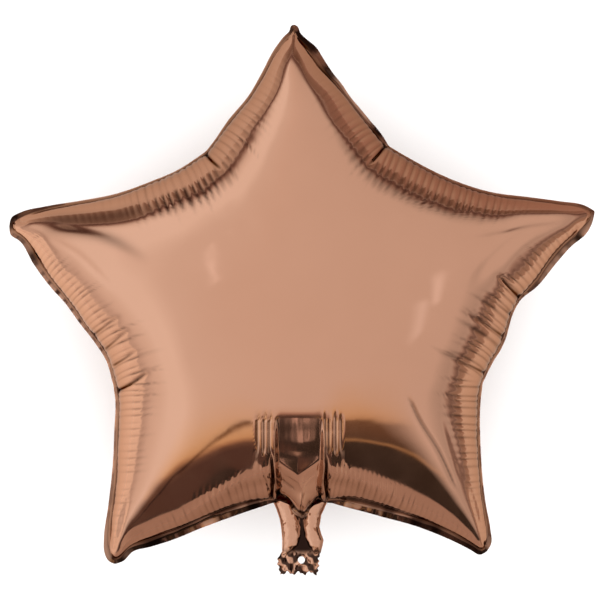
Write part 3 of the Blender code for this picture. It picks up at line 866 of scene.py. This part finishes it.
# ---------------------------------------------------------------- the foil
def foil_material():
    mat = bpy.data.materials.new("foil_film")
    mat.use_nodes = True
    nt = mat.node_tree
    b = nt.nodes["Principled BSDF"]
    b.inputs["Metallic"].default_value = 1.0
    coord = nt.nodes.new("ShaderNodeTexCoord")

    def noise(scale, detail=3.0, rough=0.5):
        n = nt.nodes.new("ShaderNodeTexNoise")
        n.inputs["Scale"].default_value = scale
        n.inputs["Detail"].default_value = detail
        n.inputs["Roughness"].default_value = rough
        nt.links.new(coord.outputs["Object"], n.inputs["Vector"])
        return n

    tint = nt.nodes.new("ShaderNodeMix")
    tint.data_type = "RGBA"
    tint.inputs["A"].default_value = (0.88, 0.462, 0.305, 1)
    tint.inputs["B"].default_value = (0.83, 0.425, 0.272, 1)
    nt.links.new(noise(14.0, 2.0).outputs["Fac"], tint.inputs["Factor"])
    # painted shade: the per-vertex attribute darkens the colour towards near black
    shade_mark = nt.nodes.new("ShaderNodeAttribute")
    shade_mark.attribute_name = "painted_shade"
    dark = nt.nodes.new("ShaderNodeMix")
    dark.data_type = "RGBA"
    dark.inputs["B"].default_value = (0.035, 0.016, 0.012, 1)
    nt.links.new(shade_mark.outputs["Fac"], dark.inputs["Factor"])
    # painted reflection: in reflections the foil's colour is swapped for a duller grey-brown
    path = nt.nodes.new("ShaderNodeLightPath")
    painted_reflection = nt.nodes.new("ShaderNodeMix")
    painted_reflection.data_type = "RGBA"
    painted_reflection.inputs["B"].default_value = (0.52, 0.42, 0.37, 1)
    nt.links.new(path.outputs["Is Glossy Ray"], painted_reflection.inputs["Factor"])
    nt.links.new(tint.outputs["Result"], painted_reflection.inputs["A"])
    nt.links.new(painted_reflection.outputs["Result"], dark.inputs["A"])
    nt.links.new(dark.outputs["Result"], b.inputs["Base Color"])
    # the edge tint also darkens with the painted shade
    edge = nt.nodes.new("ShaderNodeMix")
    edge.data_type = "RGBA"
    edge.inputs["A"].default_value = (0.96, 0.78, 0.66, 1)
    edge.inputs["B"].default_value = (0.13, 0.065, 0.048, 1)
    nt.links.new(shade_mark.outputs["Fac"], edge.inputs["Factor"])
    nt.links.new(edge.outputs["Result"], b.inputs["Specular Tint"])
    rough = nt.nodes.new("ShaderNodeMapRange")
    rough.inputs["From Min"].default_value = 0.35
    rough.inputs["From Max"].default_value = 0.7
    rough.inputs["To Min"].default_value = 0.07
    rough.inputs["To Max"].default_value = 0.12
    nt.links.new(noise(60.0, 4.0, 0.6).outputs["Fac"], rough.inputs["Value"])
    nt.links.new(rough.outputs["Result"], b.inputs["Roughness"])
    bump = nt.nodes.new("ShaderNodeBump")
    bump.inputs["Strength"].default_value = 0.08
    bump.inputs["Distance"].default_value = 0.0004
    nt.links.new(noise(70.0, 2.0).outputs["Fac"], bump.inputs["Height"])
    nt.links.new(bump.outputs["Normal"], b.inputs["Normal"])
    return mat


FOIL = foil_material()

V, F, painted_shade = panel(21, front_folds)
V[:, 2] += SEAM_Z
front = add_mesh("foil_front", V, F, FOIL, painted_shade=painted_shade)
V, F, painted_shade = panel(22)
V[:NC, 2] *= -1
V[NC:2 * NC, 2] = 0.1 * MM - (V[NC:2 * NC, 2] - 0.1 * MM) 
V[2 * NC:, 2] += -2 * SEAM_WAVE[col_all] * (1 - smoothstep(dist_all, 0, 12 * MM))
V[:, 2] = SEAM_Z - V[:, 2]
V[:, 2] = 0.5 * (V[:, 2] + np.sqrt(V[:, 2] ** 2 + (0.8 * MM) ** 2))
back = add_mesh("foil_back", V, F[:, ::-1], FOIL, painted_shade=painted_shade)

# ---------------------------------------------------------------- the filling tail below the bottom notch
def build_tail():
    rng = np.random.default_rng(5)
    nu, nv = 132, 190
    left = np.array([(494, 275), (503, 273.5), (510, 276.5), (519, 279.5), (527, 281), (540, 282.2), (552, 282), (556, 279),
                     (560, 277.5), (565, 278), (570, 279.5), (580, 281)])
    right = np.array([(494, 326), (503, 327), (510, 324), (515, 321.5), (527, 319.5), (533, 321), (540, 323.6), (546, 322.5),
                      (553, 320.5), (558, 318.5), (565, 318.8), (570, 318), (580, 316)])
    u = np.linspace(0, 1, nu + 1)[None, :]
    v = np.linspace(0, 1, nv + 1)[:, None]
    end = 573.2 + 1.5 * np.sin(2 * math.pi * (3.3 * u + 0.1)) + 0.8 * np.sin(2 * math.pi * (7.1 * u + 0.4))
    y = 494 + (end - 494) * v
    xl, xr = np.interp(y, left[:, 0], left[:, 1]), np.interp(y, right[:, 0], right[:, 1])
    low = smoothstep(y, 548, 560)
    xl = xl + low * 0.7 * np.sin(y * 1.1)
    xr = xr + low * 0.7 * np.sin(y * 1.3 + 1)
    x = xl + (xr - xl) * u
    # a round hole: the cells round its middle are taken out and the ring is drawn open
    hx, hy, r0, rh, r2 = 301.4, 559.9, 0.9, 3.6, 8.0
    r = np.hypot(x - hx, y - hy)
    idx = np.arange((nu + 1) * (nv + 1)).reshape(nv + 1, nu + 1)
    a, b, c, d = idx[:-1, :-1], idx[:-1, 1:], idx[1:, 1:], idx[1:, :-1]
    quads = np.stack([a, b, c, d], -1).reshape(-1, 4)
    xf, yf, rf = x.ravel().copy(), y.ravel().copy(), r.ravel()
    out = np.hypot(xf[quads].mean(1) - hx, yf[quads].mean(1) - hy) < r0
    gone, kept = quads[out], quads[~out]
    ring = np.intersect1d(gone, kept)
    rr = rf.copy()
    rr[ring] = r0
    k = (rf < r2)
    rn = np.where(k, rh + (r2 - rh) * (rr - r0) / (r2 - r0), rr)
    xf, yf = hx + (xf - hx) / np.maximum(rf, 1e-9) * rn, hy + (yf - hy) / np.maximum(rf, 1e-9) * rn

    def lobes(x, y):
        li = np.interp(y, [494, 519, 527, 537, 545, 554, 560], [295, 300.0, 301.2, 300.6, 298.0, 287.5, 284])
        ri = np.interp(y, [494, 519, 527, 537, 545, 554, 560], [304, 302.6, 302.9, 304.6, 308.0, 314.5, 316])
        lo, ro = np.interp(y, left[:, 0], left[:, 1]), np.interp(y, right[:, 0], right[:, 1])
        h = np.zeros_like(x)
        top = np.interp(y, [494, 505, 520, 535, 546, 555, 575], [4.4, 4.4, 4.2, 3.9, 3.3, 1.0, 0.0])
        for a, b in ((lo, li), (ri, ro)):
            t = (x - (a + b) / 2) / np.maximum((b - a) / 2, 1.0)
            h += top * np.clip(1 - np.abs(t) ** 2.4, 0, 1)
        return h

    def crumple(x, y, seed):
        g = np.random.default_rng(seed)
        h = np.zeros_like(x)
        for _ in range(14):
            ang = g.uniform(0, math.pi)
            w = g.uniform(5, 13)
            h += np.abs(np.sin(math.pi * ((x * math.cos(ang) + y * math.sin(ang)) / w + g.random()))) * w * g.uniform(0.5, 1)
        return h / 14 / 6

    across = (u * np.ones_like(y)).ravel()
    rim = smoothstep(np.minimum(across, 1 - across), 0, 0.05) * (1 - smoothstep(np.repeat(v.ravel(), nu + 1), 0.985, 1.0))
    open_end = smoothstep(yf, 546, 556)
    hole = smoothstep(np.hypot(xf - hx, yf - hy), rh, rh + 3)
    wave = 1.1 * np.sin(xf * 0.55 + 0.3 * np.sin(yf * 0.4)) * open_end
    # its upper end lies under the panel's bottom corner
    sink = 4.2 * (1 - smoothstep(yf, 512, 542))
    inner = lobes(xf, yf)
    # painted shade in the groove between the lobes, and dark patches painted on the crumpled open end as its shade
    painted_shade = 1.0 * (1 - smoothstep(inner, 0.1, 0.9)) * smoothstep(yf, 515, 519) * (1 - smoothstep(yf, 549, 557))
    painted_shade *= smoothstep(np.minimum(across, 1 - across), 0.08, 0.2)
    spots = np.sin(xf * 0.62 + 1.0) * np.sin(yf * 0.45 + 0.6) + 0.6 * np.sin(xf * 0.33 - yf * 0.5)
    painted_shade = np.maximum(painted_shade, 0.95 * open_end * smoothstep(spots, -0.4, 0.2))
    verts = []
    for sign, seed in ((1, 31), (-1, 32)):
        z = lobes(xf, yf) * (1 if sign > 0 else 0.8)
        c = crumple(xf, yf, seed)
        z = z + (1.0 + 1.5 * open_end) * (c - c.mean()) * (0.4 + 0.6 * hole) + 0.35 + 0.5 * open_end
        z = np.maximum(z, 0.05) * rim * (0.15 + 0.85 * hole)
        z = sign * z + wave * (0.3 + 0.7 * rim) - sink * (1.0 if sign > 0 else 0.4)
        plan_x = CAM_X + (xf - 300) * UNIT
        plan_y = CAM_Y + (300 - yf) * UNIT
        verts.append(np.c_[plan_x, plan_y, SEAM_Z + z * MM])
    n = len(xf)
    # both films are welded at the rim and round the hole
    border = np.unique(np.r_[idx[0], idx[-1], idx[:, 0], idx[:, -1], ring])
    low_id = np.arange(n) + n
    low_id[border] = border
    top_q = kept[:, ::-1]
    low_q = low_id[kept]
    q = np.vstack([top_q, low_q])
    F = np.vstack([q[:, [0, 1, 2]], q[:, [0, 2, 3]]])
    V = np.vstack(verts)
    V[border] = 0.5 * (verts[0][border] + verts[1][border])
    used = np.unique(F)
    new = np.full(len(V), -1)
    new[used] = np.arange(len(used))
    return V[used], new[F], np.r_[painted_shade, painted_shade][used]


V, F, painted_shade = build_tail()
tail = add_mesh("foil_tail", V, F, FOIL, painted_shade=painted_shade)

# ---------------------------------------------------------------- floor
floor_mat = bpy.data.materials.new("floor_white")
floor_mat.use_nodes = True
fb = floor_mat.node_tree.nodes["Principled BSDF"]
fn = floor_mat.node_tree


def floor_node(kind, **values):
    n = fn.nodes.new(kind)
    for k, v in values.items():
        n.inputs[k].default_value = v
    return n


# what the foil's lower half shows, by direction in degrees from +X: a painted reflection in which the floor looks
# dimmer, lighter towards -X as if lit from that side
BELOW = [
    (-180, (0.92, 0.93, 0.90)), (-150, (0.82, 0.80, 0.76)), (-118, (0.46, 0.41, 0.38)), (-107, (0.40, 0.34, 0.31)), (-90, (0.37, 0.31, 0.28)),
    (-73, (0.42, 0.36, 0.33)), (-60, (0.46, 0.42, 0.38)), (-35, (0.63, 0.60, 0.55)), (-5, (0.66, 0.63, 0.58)), (14, (0.40, 0.31, 0.27)),
    (48, (0.36, 0.27, 0.24)), (62, (0.42, 0.36, 0.32)), (82, (0.46, 0.41, 0.37)), (98, (0.58, 0.55, 0.52)),
    (130, (0.60, 0.57, 0.53)), (158, (0.60, 0.57, 0.54)), (180, (0.92, 0.93, 0.90))]
fc = floor_node("ShaderNodeTexCoord")
fsep = floor_node("ShaderNodeSeparateXYZ")
fn.links.new(fc.outputs["Object"], fsep.inputs[0])
fang = floor_node("ShaderNodeMath")
fang.operation = "ARCTAN2"
fn.links.new(fsep.outputs[1], fang.inputs[0])
fn.links.new(fsep.outputs[0], fang.inputs[1])
frange = floor_node("ShaderNodeMapRange", **{"From Min": -math.pi, "From Max": math.pi})
fn.links.new(fang.outputs[0], frange.inputs["Value"])
framp = floor_node("ShaderNodeValToRGB")
el = framp.color_ramp.elements
while len(el) > 1:
    el.remove(el[0])
for k, (v, g) in enumerate(BELOW):
    e = el[0] if k == 0 else el.new(1.0)
    e.position = (v + 180) / 360
    e.color = tuple(c / 1.7 for c in g) + (1,)
fn.links.new(frange.outputs[0], framp.inputs["Fac"])
# painted reflection: in reflections the floor takes the dimmer colour by direction; to the camera it stays white
fpath = floor_node("ShaderNodeLightPath")
floor_reflection_mix = floor_node("ShaderNodeMix")
floor_reflection_mix.data_type = "RGBA"
floor_reflection_mix.inputs["A"].default_value = (0.9, 0.9, 0.9, 1)
fn.links.new(framp.outputs["Color"], floor_reflection_mix.inputs["B"])
fn.links.new(fpath.outputs["Is Glossy Ray"], floor_reflection_mix.inputs["Factor"])
fn.links.new(floor_reflection_mix.outputs["Result"], fb.inputs["Base Color"])
fb.inputs["Roughness"].default_value = 0.9
fb.inputs["Specular IOR Level"].default_value = 0.0
R = 0.46
a = np.linspace(0, 2 * math.pi, 65)[:-1]
fv = np.vstack([np.c_[R * np.cos(a), R * np.sin(a), np.zeros(64)], [[0, 0, 0]]])
ff = np.c_[np.arange(64), (np.arange(64) + 1) % 64, np.full(64, 64)]
floor = add_mesh("floor", fv, ff, floor_mat, smooth=False)


# ---------------------------------------------------------------- studio light
def build_world():
    world = bpy.data.worlds.new("studio")
    bpy.context.scene.world = world
    world.use_nodes = True
    nt = world.node_tree
    nt.nodes.clear()

    def math_node(op, a, b=0.0, c=None, clamp=False):
        n = nt.nodes.new("ShaderNodeMath")
        n.operation = op
        n.use_clamp = clamp
        for i, v in enumerate((a, b) if c is None else (a, b, c)):
            if isinstance(v, (int, float)):
                n.inputs[i].default_value = v
            else:
                nt.links.new(v, n.inputs[i])
        return n.outputs[0]

    def ramp(value, lo, hi, stops):
        """Colour by value from lo to hi; stops are (value, grey or (r, g, b))."""
        m = math_node("DIVIDE", math_node("SUBTRACT", value, lo), hi - lo, clamp=True)
        n = nt.nodes.new("ShaderNodeValToRGB")
        el = n.color_ramp.elements
        while len(el) > 1:
            el.remove(el[0])
        for k, (v, col) in enumerate(stops):
            e = el[0] if k == 0 else el.new(1.0)
            e.position = (v - lo) / (hi - lo)
            e.color = (col if isinstance(col, tuple) else (col,) * 3) + (1,)
        nt.links.new(m, n.inputs["Fac"])
        return n.outputs["Color"]

    def mix(fac, a, b, blend="MIX"):
        n = nt.nodes.new("ShaderNodeMix")
        n.data_type = "RGBA"
        n.blend_type = blend
        for k, v in (("Factor", fac), ("A", a), ("B", b)):
            if isinstance(v, (int, float)) and k == "Factor":
                n.inputs[k].default_value = v
            elif isinstance(v, tuple):
                n.inputs[k].default_value = v
            else:
                nt.links.new(v, n.inputs[k])
        return n.outputs["Result"]

    coord = nt.nodes.new("ShaderNodeTexCoord")
    sep = nt.nodes.new("ShaderNodeSeparateXYZ")
    nt.links.new(coord.outputs["Generated"], sep.inputs[0])
    x, y, z = sep.outputs
    deg = 180 / math.pi
    elev = math_node("MULTIPLY", math_node("ARCSINE", z), deg)
    beta = math_node("MULTIPLY", math_node("ARCTAN2", math_node("MULTIPLY", y, -1.0), z), deg)
    alpha = math_node("MULTIPLY", math_node("ARCTAN2", x, z), deg)
    flat = math_node("SQRT", math_node("ADD", math_node("MULTIPLY", x, x), math_node("MULTIPLY", y, y)))
    south = math_node("DIVIDE", math_node("MULTIPLY", y, -1.0), math_node("ADD", flat, 1e-4))
    east = math_node("DIVIDE", x, math_node("ADD", flat, 1e-4))

    def strip(a0, b0, a1, b1, half, edge):
        """1 inside a soft strip light that runs from (alpha, beta) a0, b0 to a1, b1 in degrees."""
        dx, dy = a1 - a0, b1 - b0
        length2 = dx * dx + dy * dy
        pa, pb = math_node("SUBTRACT", alpha, a0), math_node("SUBTRACT", beta, b0)
        t = math_node("DIVIDE", math_node("ADD", math_node("MULTIPLY", pa, dx), math_node("MULTIPLY", pb, dy)), length2, clamp=True)
        ra = math_node("SUBTRACT", pa, math_node("MULTIPLY", t, dx))
        rb = math_node("SUBTRACT", pb, math_node("MULTIPLY", t, dy))
        dist = math_node("SQRT", math_node("ADD", math_node("MULTIPLY", ra, ra), math_node("MULTIPLY", rb, rb)))
        return ramp(dist, 0, half + 2 * edge, [(0, 1.0), (half, 1.0), (half + edge, 0.0)])

    dim = (0.115, 0.075, 0.065)
    s_band = ramp(beta, -90, 90, [
        (-90, 1.0), (20, 1.0), (32, (1.0, 0.93, 0.80)), (40, (0.98, 0.86, 0.62)),
        (48, (0.92, 0.74, 0.46)), (50.5, (0.62, 0.44, 0.27)), (54, (0.2, 0.13, 0.1)), (60, dim), (80, dim), (90, 0.2)])
    arc_at = math_node("ADD", beta, math_node("MULTIPLY", math_node("MINIMUM", math_node("ADD", alpha, 22.0), 0.0), 1.6))
    arc = ramp(arc_at, 28, 46, [(28, 1.0), (33.8, 1.0), (35.2, (0.16, 0.10, 0.07)), (37.2, (0.28, 0.19, 0.13)), (40.4, 1.0), (46, 1.0)])
    arc = mix(ramp(alpha, -30, 0, [(-30, 1.0), (-20, 1.0), (-14, 0.0), (0, 0.0)]), (1.0, 1.0, 1.0, 1.0), arc)
    right_band = ramp(beta, -90, 90, [
        (-90, 1.0), (16, 1.0), (26, (1.0, 0.93, 0.80)), (33, (0.98, 0.84, 0.60)),
        (35.2, (0.86, 0.68, 0.44)), (36.6, (0.24, 0.16, 0.10)), (48.5, (0.14, 0.10, 0.07)), (50, (0.55, 0.42, 0.24)),
        (51, (0.5, 0.36, 0.2)), (53, (0.06, 0.05, 0.04)), (84, (0.05, 0.042, 0.036)), (90, 0.2)])
    centre_band = ramp(beta, -90, 90, [
        (-90, 1.0), (26, 1.0), (36, (0.94, 0.88, 0.82)), (42, (0.6, 0.46, 0.4)), (47, (0.16, 0.11, 0.1)), (54, (0.075, 0.06, 0.055)),
        (84, (0.05, 0.042, 0.038)), (90, 0.1)])
    s_band = mix(ramp(alpha, -18, -9, [(-18, 0.0), (-9, 1.0)]), s_band, centre_band)
    s_band = mix(ramp(alpha, 8, 13, [(8, 0.0), (13, 1.0)]), s_band, right_band)
    x_band = ramp(alpha, -90, 90, [
        (-90, 1.0), (-72, (1.15, 1.2, 1.22)), (-62, (1.26, 1.36, 1.42)), (-46, (1.26, 1.36, 1.42)), (-34, (1.08, 1.12, 1.14)), (-12, 1.03), (0, 1.0), (20, 0.97), (40, 0.95),
        (60, 0.93), (68, 0.78), (76, 0.7), (83, 0.9), (90, 0.9)])
    core = (0.22, 0.145, 0.13)
    near = ramp(elev, -30, 15, [(-30, 1.0), (-3.5, 1.0), (-1.5, core), (2, core), (5, (0.5, 0.42, 0.4)), (9, 0.88), (13, 1.0)])
    azimuth = math_node("MULTIPLY", math_node("ARCTAN2", y, x), deg)
    near_weight = ramp(azimuth, -180, 180, [
        (-180, 0.35), (-165, 0.15), (-130, 0.12), (-112, 0.6), (-90, 1.0), (-60, 0.9), (-34, 0.85), (0, 0.8), (30, 1.0), (145, 1.0),
        (165, 0.6), (180, 0.35)])
    # below the horizon the paper goes on; on the near side it stands a little higher
    shift = ramp(azimuth, -180, 180, [(-180, 0.0), (-140, 0.0), (-122, 1.0), (-58, 1.0), (-40, 0.0), (180, 0.0)])
    lower = math_node("ADD", elev, math_node("MULTIPLY", shift, -9.0))
    below_mask = ramp(lower, -10, 10, [(-10, 1.0), (-3.6, 1.0), (-2.2, 0.0), (10, 0.0)])
    below = ramp(azimuth, -180, 180, [(v, tuple(c / 0.66 / 2 for c in g)) for v, g in BELOW])
    under = ramp(elev, -30, 15, [(-30, 1.0), (-20, 0.95), (-16, (0.46, 0.37, 0.34)), (-5, (0.31, 0.24, 0.21)), (15, (0.31, 0.24, 0.21))])
    under_weight = ramp(azimuth, -180, 180, [
        (-180, 0.1), (-60, 0.0), (-45, 0.75), (0, 0.8), (20, 0.5), (35, 0.3), (55, 0.6), (70, 1.0),
        (110, 1.0), (130, 0.5), (145, 0.15), (165, 0.15), (180, 0.1)])
    below = mix(1.0, below, mix(under_weight, (1.0, 1.0, 1.0, 1.0), under), "MULTIPLY")
    south_weight = ramp(south, -1, 1, [(-1, 1.0), (-0.95, 1.0), (-0.6, 0.0), (0.52, 0.0), (0.84, 1.0), (1, 1.0)])
    flat_weight = ramp(flat, 0, 1, [(0, 0.0), (0.2, 1.0), (1, 1.0)])

    white = (1.0, 1.0, 1.0, 1.0)
    col = mix(mix(1.0, south_weight, flat_weight, "MULTIPLY"), white, mix(1.0, s_band, arc, "MULTIPLY"))
    col = mix(1.0, col, x_band, "MULTIPLY")
    col = mix(1.0, col, mix(near_weight, white, near), "MULTIPLY")
    col = mix(below_mask, col, mix(1.0, below, (2.0, 2.0, 2.0, 1.0), "MULTIPLY"))
    for a0, b0, a1, b1, half, edge, gain in ((-26.0, -29, -18.2, -13, 0.25, 0.4, 1.32), (38.5, -16, 40.0, -4, 0.6, 4.5, 1.26),
                                             (31, -3, 33.5, 11, 0.5, 4.5, 1.2), (-0.3, 54, -0.3, 64, 0.8, 1.6, 13.0),
                                             (5.2, 54, 5.2, 63, 0.6, 1.4, 11.0), (9.0, 54, 9.0, 64, 0.4, 1.2, 6.5), (-4.6, 54, -4.6, 64, 0.3, 1.4, 4.5)):
        col = mix(1.0, col, mix(strip(a0, b0, a1, b1, half, edge), white, (gain, gain * 1.06, gain * 1.12, 1.0)), "MULTIPLY")
    gloss = nt.nodes.new("ShaderNodeBackground")
    nt.links.new(col, gloss.inputs["Color"])
    gloss.inputs["Strength"].default_value = 0.66
    soft = nt.nodes.new("ShaderNodeBackground")
    soft.inputs["Color"].default_value = (1, 1, 1, 1)
    soft.inputs["Strength"].default_value = 1.7
    pale = nt.nodes.new("ShaderNodeBackground")
    pale.inputs["Color"].default_value = (1, 1, 1, 1)
    path = nt.nodes.new("ShaderNodeLightPath")
    first = nt.nodes.new("ShaderNodeMixShader")
    nt.links.new(path.outputs["Is Glossy Ray"], first.inputs[0])
    nt.links.new(soft.outputs[0], first.inputs[1])
    nt.links.new(gloss.outputs[0], first.inputs[2])
    second = nt.nodes.new("ShaderNodeMixShader")
    nt.links.new(path.outputs["Is Camera Ray"], second.inputs[0])
    nt.links.new(first.outputs[0], second.inputs[1])
    nt.links.new(pale.outputs[0], second.inputs[2])
    out = nt.nodes.new("ShaderNodeOutputWorld")
    nt.links.new(second.outputs[0], out.inputs["Surface"])


build_world()

# ---------------------------------------------------------------- the frame's calls
for ob in (front, back, tail):
    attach(ob, "root")
    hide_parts("foil_envelope")

co = []
for ob in (front, back, tail):
    c = np.empty(3 * len(ob.data.vertices), np.float32)
    ob.data.vertices.foreach_get("co", c)
    co.append(c.reshape(-1, 3))
co = np.vstack(co)
